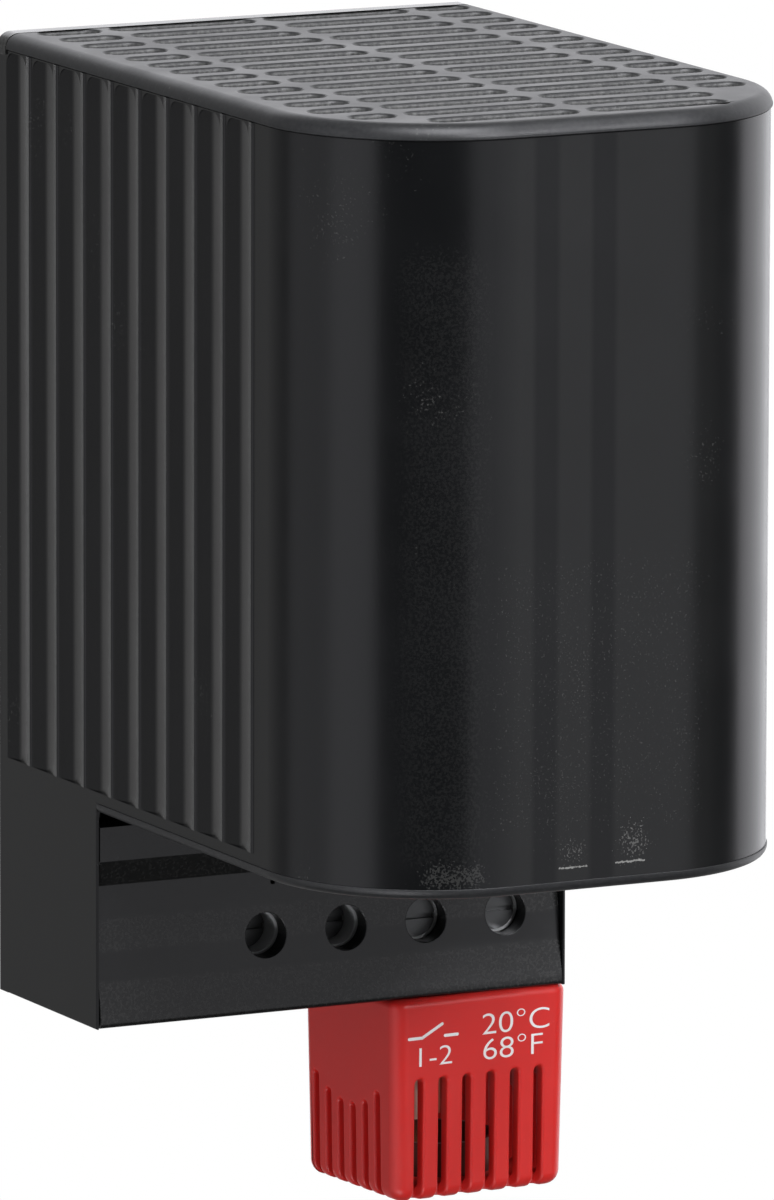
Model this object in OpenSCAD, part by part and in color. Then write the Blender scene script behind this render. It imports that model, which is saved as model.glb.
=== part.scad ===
// Touch-safe enclosure heater for a 35 mm rail, with a plug-in thermostat under its terminal base.
// Millimetres. The origin is the middle of the rail seat: X to the right seen from the front,
// Y to the rear, Z up. Inside the modules, heights count from the underside of the base and
// depths from the rear face of the rear plate; on_rail() moves a piece from there to the origin.

/* [Body] */
// Width of the heater
body_w = 60.4; // [59.4:0.1:62.4]
// Depth of the heater, without the rail clip
body_d = 90.2; // [88.2:0.1:92.2]
// Height from the underside of the base to the top grille
body_h = 111.5; // [109:0.5:114]
// Height of the underside of the cover above the base
base_h = 25.1; // [24.7:0.1:25.7]
// Depth of the terminal base
base_d = 25.9; // [25.7:0.1:26.4]
// Radius of the two upright front corners
corner_r = 20.2; // [18:0.1:21]
// Wall of the housing
wall = 2.2; // [2.1:0.1:2.6]
// Thickness of the rear plate
rear_t = 2.2; // [2:0.1:2.5]

/* [Grilles] */
// Height of the top grille's rim
rim_h = 2.4; // [2.2:0.1:2.8]
// Rounding of the top grille's edge
rim_r = 1.7; // [1.4:0.1:2]
// How far the rim stands out over the housing
rim_out = 0.2; // [0.1:0.05:0.4]
// Thickness of the bottom grille
sill_h = 1.2; // [1.1:0.1:1.5]
// Rows of air slots
slot_rows = 15; // [13:1:15]
// Width of an air slot
slot_w = 3.3; // [2.8:0.1:3.5]
// Length of the air slots in the two outer columns
short_slot = 7.4; // [6:0.1:8]
// Bridge between two columns of slots
bridge_w = 1.6; // [1.4:0.1:2]

/* [Flutes] */
// Upright ribs on each side
rib_count = 9; // [7:1:9]
// Distance between ribs
rib_pitch = 7.2; // [6.8:0.05:7.25]
// Distance of the first rib's edge from the rear face
rib_first = 8.7; // [8.2:0.1:9]
// Depth of the flutes between the ribs
flute_depth = 0.4; // [0.3:0.05:0.6]

/* [Terminals] */
// Distance of the last terminal from the right side
terminal_inset = 7.45; // [7.2:0.05:8.2]
// Distance between terminals
terminal_pitch = 10.25; // [9.8:0.05:10.6]
// Height of the terminal screws
terminal_z = 8.9; // [8.7:0.1:9.1]
// Diameter of the screwdriver holes
access_d = 5.2; // [5:0.1:5.4]
// Diameter of the wire entries in the floor
entry_d = 4.8; // [4.4:0.1:5]

/* [Thermostat] */
// Width of the thermostat
plug_w = 23.4; // [23:0.1:23.8]
// Depth of the thermostat
plug_d = 21.7; // [21.3:0.1:22.2]
// Height of the thermostat
plug_h = 23.9; // [23:0.1:25]
// Turn of the plugged-in thermostat about its upright axis, in degrees
plug_turn = 3.9; // [0:0.1:4.2]
// Vent slots on each face
vent_count = 6; // [5:1:6]
// Distance between vent slots
vent_pitch = 3.1; // [3:0.1:3.2]
// Width of a vent slot
vent_w = 1.2; // [1:0.1:1.4]

/* [Heater] */
// Width of the finned profile
profile_w = 42; // [38:1:44]
// Depth of the finned profile
profile_d = 58; // [56:1:60]
// Length of the finned profile
profile_len = 72; // [68:1:73]
// Fins along the profile
fin_count = 9; // [8:1:10]
// Thickness of a fin
fin_t = 1.4; // [1.2:0.1:1.6]

/* [Rail clip] */
// Height of the rail's centre above the underside of the base
rail_height = 60; // [58:0.5:64]
// Width of the mounting rail
rail_w = 35; // [35:1:35]
// Width of the clip
clip_w = 24; // [20:1:28]
// Sheet thickness of the clip
clip_t = 1.2; // [1:0.1:1.4]

/* [Hidden] */
$fn = 64;
eps = 0.01;
// Overshoot of a cut past the surface it opens
over = 1;

// Housing
half_w = body_w / 2 - rim_out;
inner_half = half_w - wall;
cover_z = base_h + sill_h;
sill_out = 0.15;
sill_gap = 0.2;
sill_r = sill_h - 0.1;
rim_z = body_h - rim_h;

// Flutes: each falls away from the rib behind it and climbs the slope of the next
flute_foot = cover_z + 1.3;
flute_top = rim_z - 0.15;
flute_round = 1.6;
rib_rise = 3.7;
rib_step = 0.1;
rib_root = 0.3;
rib_cross = rib_rise * rim_out / (rim_out + flute_depth);
rib_edge = [for (i = [0 : rib_count - 1]) rib_first + i * rib_pitch];

// Grille slots
slot_margin = 3.4;
row_first = 4.2;
row_pitch = (body_d - slot_margin - slot_w / 2 - row_first) / (slot_rows - 1);
edge_margin = rim_out + wall;
long_slot = body_w / 2 - edge_margin - short_slot - 1.5 * bridge_w;
outer_slot = long_slot + 1.5 * bridge_w;
least_slot = slot_w + 0.4;
web_t = 1.2;
web_h = 3;
web_place = 0.72;
slot_shift = 1.15;

// Screw bosses at the rear of the housing
boss = 7;
boss_len = 10;
boss_x = inner_half - boss / 2;
boss_low = 36;
boss_high = 100;
screw_d = 2.6;
screw_len = 10;
sink_d = 5.4;
sink_h = 1.5;
screw_play = 0.1;

// Terminal panel: depths of its bands and heights of the edges between them
panel_gap = 0.25;
side_lip = 0.3;
panel_rear = base_d - 3.4;
panel_half = half_w - side_lip - panel_gap;
lip_depth = panel_rear - panel_gap;
panel_top = 23.4;
brow_z = 19.3;
step_z = 16.4;
belt_z = 12.4;
waist_z = 8.7;
toe_z = 5.4;
band_front = base_d - 0.3;
band_back = base_d - 1.4;
band_mid = base_d - 1.1;
toe_edge = 0.5;
floor_t = 1.2;
slit_w = 0.5;
slit_h = 6;
slit_z = 14.8;
slit_x = 0.8;

// Terminals
terminal_x = [for (i = [0:3]) body_w / 2 - terminal_inset - (3 - i) * terminal_pitch];
guide_d = 4.8;
block_front = panel_rear - 0.3;
block_guide = 3.4;
clamp_w = 7;
block_left = terminal_x[0] - clamp_w / 2 - 1.5;
clamp_low = floor_t + 1.2;
wire_d = 4;
clamp_front = block_front - block_guide;
clamp_d = 8;
clamp_top = 15;
block_top = clamp_top + 1.4;
block_rear = clamp_front - clamp_d;
entry_back = 4.5;
entry_y = clamp_front - entry_back;
entry_top = 12.5;
post_d = 3;
head_d = 4.6;
head_t = 1.6;
low_head_t = 0.8;
screw_front = panel_rear - 0.1;
shank_d = 2.9;
shank_len = 5.8;
slot_depth = 0.5;
slot_gap = 0.6;

// Leads: heights of their tails and runs, and depths of the two planes they rise in
lead_r = 1.1;
bend_r = 1.6;
link_z = 6;
tail_z = 12;
lead_z = 29;
lead_depth = 7.4;
lead_rear = 4.4;
switched_x = terminal_x[3] - 2.4;

// Heating stack
profile_y = 44;
profile_z = 31;
core_w = 8.8;
core_d = 27;
channel_w = 4.4;
channel_d = 24.8;
spine_t = 6;
fin_pitch = (profile_d - fin_t) / (fin_count - 1);
sleeve_t = 0.4;
sleeve_end = 1;
electrode_t = 0.6;
stone_d = 23;
stone_h = 18;
stone_gap = 2;
stone_count = 3;
stack_lift = 4;
stack_z = profile_z + stack_lift;
stack_h = stone_count * (stone_h + stone_gap) - stone_gap;
tab_w = 5;
tab_drop = 7.6;
tab_depth = profile_y - stone_d / 2;
stone_t = channel_w - 2 * sleeve_t - 2 * electrode_t;
electrode_x = (stone_t + electrode_t) / 2;

// Rail clip
hook_gap = 1.5;
hook_lip = 2.5;
hook_play = 0.2;
arm_back = 2.4;
arm_drop = 6.5;
hook_z = rail_w / 2 + hook_play;
lip_front = clip_t + hook_gap;
lip_back = lip_front + clip_t;
arm_y = lip_front + arm_back;
clip_foot = hook_z + arm_drop;
rivet_d = 3.2;
rivet_head_d = 6;
rivet_head = 1.1;
rivet_z = 8;

// Stand-offs that carry the profile on the rear plate
standoff_d = 10;
standoff_low = rail_height - rivet_z - (rivet_head_d + standoff_d) / 2 - 0.4;
standoff_drop = 11;
standoff_high = profile_z + profile_len - standoff_drop;
standoff_zs = [standoff_low, standoff_high];
profile_rear = profile_y - profile_d / 2;
profile_screw_d = 3;
profile_screw_len = 19;

// Thermostat
plug_shift = 0.85;
plug_x = (terminal_x[2] + terminal_x[3]) / 2 + plug_shift;
plug_y = base_d + 0.35 - plug_d / 2;
plug_wall = 1.6;
plug_r = 1.4;
plug_draft = 0.4;
lip_r = 1;
lid_t = 2;
cavity_w = plug_w - 2 * (plug_wall + plug_draft);
cavity_d = plug_d - 2 * (plug_wall + plug_draft);
vent_front_top = 10;
vent_side_top = 14.3;
vent_side_rise = 2.4;
vent_side_pitch = 0.9 * vent_pitch;
vent_side_shift = 0.8;
vent_floor = 2.6;

// Switch inside the thermostat
prong_w = 2.2;
prong_t = 0.8;
prong_y = screw_front - head_t - shank_len - prong_t / 2;
prong_top = 12;
prong_x = [terminal_x[2], terminal_x[3]];
switch_low = 7;
switch_d = 8;
switch_edge = 0.8;
prong_play = 0.3;
strip_low = 15;
strip_y = plug_y + plug_d / 2 - plug_wall - 2.2;
jog_z = 8.2;
leaf_t = 0.5;
leaf_w = 1.6;
leaf_shift = 1;
leaf_x = plug_x - 1.5 * vent_pitch + leaf_shift;
cup_d = 14;
cup_h = 4;
cup_t = 0.6;
disc_t = 0.5;

// Moves a piece from the rear face and the underside of the base to the rail seat
module on_rail() translate([0, -clip_t, -rail_height]) children();

// Stands a drawing of depth (to the front) and height upright, with its thickness along X
module upright(x0, x1) translate([x0, 0, 0]) rotate([90, 0, 90]) linear_extrude(x1 - x0)
  mirror([1, 0]) children();

// A round bar along Y from one depth to another
module along_y(x, z, depth0, depth1, d) translate([x, -depth0, z]) rotate([90, 0, 0])
  cylinder(d = d, h = depth1 - depth0);

// Plan of the housing, drawn in by inset, from a rear depth to the front
module plan(inset, rear) {
  w = body_w / 2 - inset;
  d = body_d - inset;
  r = corner_r - inset;
  translate([-w, r - d]) square([2 * w, d - r - rear]);
  translate([r - w, -d]) square([2 * (w - r), r + over]);
  for (side = [-1, 1]) translate([side * (w - r), r - d]) circle(r);
}

// An air slot with round ends, from x0 to x1
module air_slot(x0, x1) {
  translate([x0 + slot_w / 2, -slot_w / 2]) square([x1 - x0 - slot_w, slot_w]);
  for (x = [x0 + slot_w / 2, x1 - slot_w / 2]) translate([x, 0]) circle(d = slot_w);
}

// Half width of the plan at a depth, inside the margin that a grille keeps
function reach(depth) =
  let (r = corner_r, past = max(0, depth + slot_w / 2 - body_d + r))
  body_w / 2 - r + sqrt(r * r - past * past) - edge_margin;

// The grille's rows of slots that lie past a depth
module slot_field(rear) {
  for (row = [0 : slot_rows - 1]) {
    depth = row_first + row * row_pitch;
    if (depth - slot_w / 2 > rear)
      translate([slot_shift, -depth]) for (side = [1, -1]) mirror([side > 0 ? 0 : 1, 0]) {
        air_slot(bridge_w / 2, min(bridge_w / 2 + long_slot, reach(depth) - side * slot_shift));
        if (reach(depth) - side * slot_shift > outer_slot + least_slot)
          air_slot(outer_slot, min(outer_slot + short_slot, reach(depth) - side * slot_shift));
      }
  }
}

// A quarter of a round, for the edge of the rim
module quarter_round(r) intersection() {
  circle(r);
  square(r);
}

// The plan's rounded edge: quarter rounds along the sides, about the front corners and across the front
module round_side(inset, rear, r) translate([body_w / 2 - inset - r, -rear, 0]) rotate([90, 0, 0])
  linear_extrude(body_d - corner_r - rear) quarter_round(r);

module round_corner(inset, r) translate([body_w / 2 - corner_r, corner_r - body_d, 0]) rotate([0, 0, -90])
  rotate_extrude(angle = 90) translate([corner_r - inset - r, 0]) quarter_round(r);

module round_front(inset, r) translate([corner_r - body_w / 2, inset + r - body_d, 0]) rotate([90, 0, 90])
  linear_extrude(body_w - 2 * corner_r) mirror([1, 0]) quarter_round(r);

module round_edge(inset, rear, r) {
  for (side = [0, 1]) mirror([side, 0, 0]) {
    round_side(inset, rear, r);
    round_corner(inset, r);
  }
  round_front(inset, r);
}

// Housing: side walls with upright ribs, round front, open top and bottom, and the base's sides
module round_top(w, h) {
  square([w, h - flute_round]);
  translate([flute_round, 0]) square([w - 2 * flute_round, h]);
  for (x = [flute_round, w - flute_round]) translate([x, h - flute_round]) circle(flute_round);
}

module flute(i) {
  start = i == 0 ? rear_t : rib_edge[i - 1] + rib_step;
  end = rib_edge[i] - rib_cross;
  intersection() {
    translate([0, 0, flute_foot]) linear_extrude(flute_top - flute_foot) polygon([
      [half_w + over, -start], [half_w, -start], [half_w - flute_depth, rib_rise - rib_edge[i]],
      [half_w, -end], [half_w + over, -end]]);
    upright(half_w - flute_depth - over, half_w + 2 * over) translate([start, flute_foot])
      round_top(end - start, flute_top - flute_foot);
  }
}

module rib(i) translate([0, 0, flute_foot]) linear_extrude(rim_z - flute_foot)
  polygon([[half_w - rib_root, rib_cross - rib_edge[i]], [half_w, rib_cross - rib_edge[i]],
    [body_w / 2, -rib_edge[i]], [half_w, -rib_edge[i] - rib_step],
    [half_w - rib_root, -rib_edge[i] - rib_step]]);

module fluted_side() {
  difference() {
    children();
    for (i = [0 : rib_count - 1]) flute(i);
  }
  for (i = [0 : rib_count - 1]) rib(i);
}

module screw_boss(z) difference() {
  translate([boss_x - boss / 2, -rear_t - boss_len, z - boss / 2]) cube([boss + over, boss_len, boss]);
  along_y(boss_x, z, rear_t - over, rear_t + boss_len + over, screw_d);
}

module shell_half() {
  fluted_side() union() {
    translate([0, 0, cover_z]) linear_extrude(rim_z - cover_z) intersection() {
      difference() {
        plan(rim_out, rear_t);
        plan(rim_out + wall, rear_t - over);
      }
      translate([0, -body_d]) square([body_w, body_d]);
    }
    translate([inner_half, -lip_depth, 0]) cube([wall, lip_depth - rear_t, cover_z + eps]);
    translate([half_w - side_lip, -base_d, 0]) cube([side_lip, base_d - rear_t, cover_z + eps]);
  }
  for (z = [boss_low, boss_high]) screw_boss(z);
}

module housing_shell() color("#2c2d2f") on_rail() {
  shell_half();
  mirror([1, 0, 0]) shell_half();
}

// Rear plate: closes the housing, with rounded top corners and countersunk holes
module sink(x, z, d) {
  along_y(x, z, -over, rear_t + over, d);
  translate([x, eps, z]) rotate([90, 0, 0]) cylinder(d1 = sink_d, d2 = d, h = sink_h);
}

module rear_cap() intersection() {
  translate([-body_w / 2, rim_z]) square([body_w, rim_h]);
  union() {
    translate([-body_w / 2, 0]) square([body_w, body_h - rim_r]);
    translate([rim_r - body_w / 2, 0]) square([body_w - 2 * rim_r, body_h]);
    for (side = [-1, 1]) translate([side * (body_w / 2 - rim_r), body_h - rim_r]) circle(rim_r);
  }
}

module rear_plate() color("#2a2b2d") on_rail() difference() {
  rotate([90, 0, 0]) linear_extrude(rear_t) {
    translate([-half_w, 0]) square([2 * half_w, rim_z + eps]);
    rear_cap();
  }
  for (side = [-1, 1], z = [boss_low, boss_high]) sink(side * boss_x, z, screw_d);
  for (z = standoff_zs) sink(0, z, profile_screw_d);
  for (side = [-1, 1]) along_y(0, rail_height + side * rivet_z, -over, rear_t + over, rivet_d);
}

// Top grille: slotted plate with a rounded rim and webs under the slots
module web_rows() for (side = [0, 1]) mirror([side, 0, 0])
  for (x = [bridge_w / 2 + web_place * long_slot, outer_slot + web_place * short_slot])
    translate([x - web_t / 2, -reach_front(x + web_t), rim_z - web_h])
      cube([web_t, reach_front(x + web_t) - rear_t - web_t, web_h]);

function reach_front(x) =
  let (r = corner_r - rim_out - wall, past = max(0, x - body_w / 2 + corner_r))
  body_d - corner_r + sqrt(r * r - past * past) - web_t;

module top_grille() color("#36373a") on_rail() {
  difference() {
    union() {
      translate([0, 0, rim_z]) linear_extrude(rim_h - rim_r) plan(0, rear_t);
      translate([0, 0, rim_z]) linear_extrude(rim_h) plan(rim_r, rear_t);
      translate([0, 0, body_h - rim_r]) round_edge(0, rear_t, rim_r);
    }
    translate([0, 0, rim_z - over]) linear_extrude(rim_h + 2 * over) slot_field(rear_t);
  }
  web_rows();
}

// Bottom grille: air inlet in front of the base, rounded under its edge
module bottom_grille() color("#333437") on_rail() translate([0, 0, base_h]) difference() {
  inset = rim_out - sill_out;
  rear = base_d + sill_gap;
  union() {
    translate([0, 0, sill_r]) linear_extrude(sill_h - sill_r) plan(inset, rear);
    linear_extrude(sill_h) plan(inset + sill_r, rear);
    translate([0, 0, sill_r]) mirror([0, 0, 1]) round_edge(inset, rear, sill_r);
  }
  translate([0, 0, -over]) linear_extrude(sill_h + 2 * over) slot_field(base_d + 2 * bridge_w);
}

// Terminal panel: banded front wall with four screwdriver holes and a latch slit
module terminal_panel() color("#2e2f31") on_rail() difference() {
  upright(-panel_half, panel_half) polygon([[panel_rear, 0], [panel_rear, panel_top],
    [band_front, panel_top], [band_front, brow_z], [band_back, step_z], [band_back, belt_z],
    [band_mid, waist_z], [band_mid, toe_z], [base_d, floor_t], [base_d, toe_edge], [base_d - toe_edge, 0]]);
  for (x = terminal_x) along_y(x, terminal_z, panel_rear - over, base_d + over, access_d);
  translate([terminal_x[0] + slit_x, -base_d - over, slit_z]) cube([slit_w, base_d, slit_h]);
}

// Floor of the base with the wire and prong entries
module base_floor() color("#2c2d2f") on_rail() difference() {
  translate([-inner_half, -lip_depth, 0]) cube([2 * inner_half, lip_depth - rear_t, floor_t]);
  for (x = terminal_x) translate([x, -entry_y, -over])
    cylinder(d = entry_d, h = floor_t + 2 * over);
}

// Terminal block: holds the four clamps and guides their screws
module terminal_block() color("#6f7072") on_rail() difference() {
  translate([block_left, -block_front, floor_t])
    cube([inner_half - block_left, block_front - block_rear, block_top - floor_t]);
  for (x = terminal_x) {
    translate([x - clamp_w / 2, -clamp_front, floor_t - over])
      cube([clamp_w, clamp_d + over, clamp_top - floor_t + over]);
    along_y(x, terminal_z, clamp_front - over, block_front + over, guide_d);
  }
}

module terminal_clamp(i) color("#c9a95c") on_rail() difference() {
  translate([terminal_x[i] - clamp_w / 2, -clamp_front, clamp_low])
    cube([clamp_w, clamp_d, clamp_top - clamp_low]);
  translate([terminal_x[i], -entry_y, clamp_low - over])
    cylinder(d = wire_d, h = entry_top - clamp_low + over);
  along_y(terminal_x[i], terminal_z, entry_y, clamp_front + over, post_d);
}

module terminal_clamp_1() terminal_clamp(0);
module terminal_clamp_2() terminal_clamp(1);
module terminal_clamp_3() terminal_clamp(2);
module terminal_clamp_4() terminal_clamp(3);

// Terminal screws: run in on the two free terminals, stopped by the prongs on the other two
module terminal_screw(x, under, head) difference() {
  union() {
    along_y(x, terminal_z, under, under + head, head_d);
    along_y(x, terminal_z, under - shank_len, under + head / 2, shank_d);
  }
  translate([x - head_d, -under - head - over, terminal_z - slot_gap / 2])
    cube([2 * head_d, slot_depth + over, slot_gap]);
}

module terminal_screws() color("#b4b4b2") on_rail() for (i = [0:3])
  terminal_screw(terminal_x[i], i < 2 ? clamp_front : screw_front - head_t, i < 2 ? low_head_t : head_t);

// Leads: round wire along straight runs joined by quarter bends
function unit(v) = v / norm(v);

module run(a, b) translate(a) rotate([0, acos((b - a).z / norm(b - a)), atan2((b - a).y, (b - a).x)])
  cylinder(r = lead_r, h = norm(b - a));

module bend(corner, u, v) {
  centre = corner + (v - u) * bend_r;
  n = cross(u, v);
  multmatrix([[-v.x, u.x, n.x, centre.x], [-v.y, u.y, n.y, centre.y], [-v.z, u.z, n.z, centre.z]])
    rotate_extrude(angle = 90) translate([bend_r, 0]) circle(lead_r);
}

module lead(points) {
  last = len(points) - 1;
  for (i = [0 : last - 1]) {
    u = unit(points[i + 1] - points[i]);
    run(points[i] + u * (i > 0 ? bend_r : 0), points[i + 1] - u * (i < last - 1 ? bend_r : 0));
    if (i < last - 1) bend(points[i + 1], u, unit(points[i + 2] - points[i + 1]));
  }
}

// Link from the live terminal to the thermostat's first terminal
module link_lead() color("#8c3b32") on_rail() lead([[terminal_x[0], -block_rear, link_z],
  [terminal_x[0], -lead_depth, link_z], [terminal_x[2], -lead_depth, link_z],
  [terminal_x[2], -block_rear, link_z]]);

// Lead from the neutral terminal to the right electrode
module neutral_lead() color("#3c5d8c") on_rail() lead([[electrode_x, -block_rear, tail_z],
  [electrode_x, -lead_depth, tail_z], [electrode_x, -lead_depth, lead_z], [electrode_x, -tab_depth, lead_z]]);

// Lead from the thermostat's second terminal to the left electrode
module switched_lead() color("#8c3b32") on_rail() lead([[switched_x, -block_rear, tail_z],
  [switched_x, -lead_rear, tail_z], [switched_x, -lead_rear, lead_z], [-electrode_x, -lead_rear, lead_z],
  [-electrode_x, -tab_depth, lead_z]]);

// Finned aluminium profile with a channel for the heating stack
module heater_profile() color("#b9bcc0") on_rail() difference() {
  translate([0, -profile_y, profile_z]) linear_extrude(profile_len) difference() {
    union() {
      square([spine_t, profile_d], center = true);
      square([core_w, core_d], center = true);
      for (i = [0 : fin_count - 1])
        translate([-profile_w / 2, profile_d / 2 - fin_t - i * fin_pitch]) square([profile_w, fin_t]);
    }
    square([channel_w, channel_d], center = true);
  }
  for (z = standoff_zs) along_y(0, z, profile_rear - over, profile_screw_len + over, profile_screw_d);
}

// Stand-offs between the rear plate and the profile
module standoff(z) color("#d8d2c4") on_rail() difference() {
  along_y(0, z, rear_t, profile_rear, standoff_d);
  along_y(0, z, rear_t - over, profile_rear + over, profile_screw_d + 2 * screw_play);
}

module standoff_lower() standoff(standoff_zs[0]);
module standoff_upper() standoff(standoff_zs[1]);

// A countersunk screw driven in from the rear
module rear_screw(x, z, d, length) {
  translate([x, 0, z]) rotate([90, 0, 0]) cylinder(d1 = sink_d - screw_play, d2 = d, h = sink_h);
  along_y(x, z, sink_h / 2, length, d);
}

module profile_screws() color("#a9aaac") on_rail() for (z = standoff_zs)
  rear_screw(0, z, profile_screw_d - screw_play, profile_screw_len);

module housing_screws() color("#a9aaac") on_rail() for (side = [-1, 1], z = [boss_low, boss_high])
  rear_screw(side * boss_x, z, screw_d - screw_play, screw_len);

// Heating stack: sleeve, two electrodes and the heating stones between them
module insulation_sleeve() color("#c98a3a") on_rail()
  translate([0, -profile_y, stack_z - sleeve_end]) linear_extrude(stack_h + 2 * sleeve_end) difference() {
    square([channel_w, stone_d + 2 * sleeve_t], center = true);
    square([channel_w - 2 * sleeve_t, stone_d], center = true);
  }

module electrode() {
  translate([stone_t / 2, -profile_y - stone_d / 2, stack_z]) cube([electrode_t, stone_d, stack_h]);
  translate([stone_t / 2, -tab_depth - tab_w, stack_z - tab_drop])
    cube([electrode_t, tab_w, tab_drop + sleeve_end]);
}

module electrode_right() color("#c3c5c8") on_rail() electrode();
module electrode_left() color("#c3c5c8") on_rail() mirror([1, 0, 0]) electrode();

module ptc_stones() color("#5b5654") on_rail() for (i = [0 : stone_count - 1])
  translate([-stone_t / 2, -profile_y - stone_d / 2, stack_z + i * (stone_h + stone_gap)])
    cube([stone_t, stone_d, stone_h]);

// Thermostat: turned a little in its plug, open at the top under its lid
module on_plug() on_rail() translate([plug_x, -plug_y, 0]) rotate([0, 0, plug_turn]) children();

module plug_corners(inset) for (x = [-1, 1], y = [-1, 1])
  translate([x * (plug_w / 2 - inset), y * (plug_d / 2 - inset), 0]) children();

module plug_block() hull() {
  for (a = [0 : 30 : 90]) plug_corners(plug_r) translate([0, 0, -lip_r + lip_r * sin(a) - eps])
    cylinder(r = plug_r - lip_r + lip_r * cos(a), h = eps, $fn = 32);
  plug_corners(plug_r + plug_draft) translate([0, 0, plug_r - plug_h]) sphere(plug_r, $fn = 32);
}

// Vent in the face at a distance in front of the axis, from a depth below the base down through the edge
module vent(face, top) {
  translate([-vent_w / 2, -face - over, -plug_h - over])
    cube([vent_w, vent_floor + over, plug_h + over - top]);
  translate([0, vent_floor - face, -top]) rotate([90, 0, 0]) cylinder(d = vent_w, h = vent_floor + over);
}

function vent_at(i, pitch) = (i - (vent_count - 1) / 2) * pitch;

function side_top(i) = vent_side_top - vent_side_rise * pow(2 * i / (vent_count - 1) - 1, 2);

module thermostat_housing() color("#c23f3b") on_plug() difference() {
  plug_block();
  translate([-cavity_w / 2, -cavity_d / 2, plug_wall - plug_h]) cube([cavity_w, cavity_d, plug_h]);
  for (turn = [0, 180], i = [0 : vent_count - 1]) rotate([0, 0, turn]) {
    translate([vent_at(i, vent_pitch), 0, 0]) vent(plug_d / 2, vent_front_top);
    rotate([0, 0, 90]) translate([vent_at(i, vent_side_pitch) + cos(turn) * vent_side_shift, 0, 0])
      vent(plug_w / 2, side_top(i));
  }
}

module thermostat_lid() color("#b53a36") difference() {
  on_plug() translate([-cavity_w / 2, -cavity_d / 2, -lid_t]) cube([cavity_w, cavity_d, lid_t]);
  on_rail() for (x = prong_x) translate([x - prong_w / 2 - prong_play, -prong_y - prong_t, -lid_t - over])
    cube([prong_w + 2 * prong_play, 2 * prong_t, lid_t + 2 * over]);
}

// Insulating base that holds the two prongs under the lid
module switch_base() color("#3b3530") on_rail() difference() {
  translate([prong_x[0] - prong_w / 2 - switch_edge, -prong_y - switch_d / 2, -switch_low])
    cube([prong_x[1] - prong_x[0] + prong_w + 2 * switch_edge, switch_d, switch_low - lid_t]);
  for (x = prong_x) translate([x - prong_w / 2, -prong_y - prong_t / 2, -switch_low - over])
    cube([prong_w, prong_t, switch_low + over]);
}

// Left prong: up into its terminal, below the base forward and down behind the first vent
module prong_left() color("#d9c9a8") on_rail() upright(prong_x[0] - prong_w / 2, prong_x[0] + prong_w / 2)
  polygon([[prong_y - prong_t / 2, prong_top], [prong_y + prong_t / 2, prong_top],
    [prong_y + prong_t / 2, -jog_z], [strip_y, -jog_z], [strip_y, -strip_low],
    [strip_y - prong_t, -strip_low], [strip_y - prong_t, -jog_z - prong_t],
    [prong_y - prong_t / 2, -jog_z - prong_t]]);

// Right prong with the tab that carries the contact leaf
module prong_right() color("#d9c9a8") on_rail() {
  translate([prong_x[1] - prong_w / 2, -prong_y - prong_t / 2, -jog_z - prong_t])
    cube([prong_w, prong_t, prong_top + jog_z + prong_t]);
  translate([leaf_x + leaf_w, -prong_y - prong_t / 2, -jog_z - prong_t])
    cube([prong_x[1] - leaf_x - leaf_w, prong_t, prong_t]);
}

module contact_leaf() color("#b87b4f") on_rail() {
  translate([leaf_x - leaf_w / 2, -strip_y, -jog_z - prong_t - leaf_t])
    cube([3 * leaf_w, strip_y - prong_y + prong_t / 2, leaf_t]);
  translate([leaf_x - leaf_w / 2, -strip_y, leaf_t - strip_low])
    cube([leaf_w, leaf_t, strip_low - leaf_t - jog_z - prong_t]);
}

// Snap disc in its cup on the thermostat's floor
module disc_cup() color("#c3c5c8") on_plug() translate([0, 0, plug_wall - plug_h]) difference() {
  cylinder(d = cup_d, h = cup_h);
  translate([0, 0, cup_t]) cylinder(d = cup_d - 2 * cup_t, h = cup_h);
}

module bimetal_disc() color("#c2a56b") on_plug() translate([0, 0, plug_wall - plug_h + cup_t])
  cylinder(d = cup_d - 2 * cup_t - 2 * screw_play, h = disc_t);

// Rail clip: folded spring sheet with a fixed upper hook and a sprung lower catch
module din_clip() color("#9a9c9f") on_rail() translate([0, 0, rail_height]) difference() {
  translate([-clip_w / 2, 0, 0]) rotate([90, 0, 90]) linear_extrude(clip_w) polygon([[0, hook_z + clip_t],
    [lip_back, hook_z + clip_t], [lip_back, hook_z - hook_lip], [lip_front, hook_z - hook_lip],
    [lip_front, hook_z], [clip_t, hook_z], [clip_t, clip_t - clip_foot], [arm_y, clip_t - clip_foot],
    [arm_y, -hook_z - clip_t], [clip_t + hook_play, -hook_z - clip_t], [clip_t + hook_play, -hook_z],
    [lip_front, -hook_z], [lip_front, hook_lip - hook_z], [lip_back, hook_lip - hook_z],
    [arm_y + clip_t, -hook_z], [arm_y + clip_t, -clip_foot], [0, -clip_foot]]);
  for (side = [-1, 1]) along_y(0, side * rivet_z, -clip_t - over, over, rivet_d);
}

module clip_rivets() color("#a9aaac") on_rail() for (side = [-1, 1]) {
  z = rail_height + side * rivet_z;
  along_y(0, z, -clip_t - rivet_head, rear_t + rivet_head, rivet_d - screw_play);
  along_y(0, z, -clip_t - rivet_head, -clip_t, rivet_head_d);
  along_y(0, z, rear_t, rear_t + rivet_head, rivet_head_d);
}

housing_shell();
rear_plate();
top_grille();
bottom_grille();
terminal_panel();
base_floor();
terminal_block();
terminal_clamp_1();
terminal_clamp_2();
terminal_clamp_3();
terminal_clamp_4();
terminal_screws();
link_lead();
neutral_lead();
switched_lead();
heater_profile();
standoff_upper();
standoff_lower();
profile_screws();
insulation_sleeve();
electrode_left();
electrode_right();
ptc_stones();
thermostat_housing();
thermostat_lid();
switch_base();
prong_left();
prong_right();
contact_leaf();
disc_cup();
bimetal_disc();
din_clip();
clip_rivets();
housing_screws();
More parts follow.
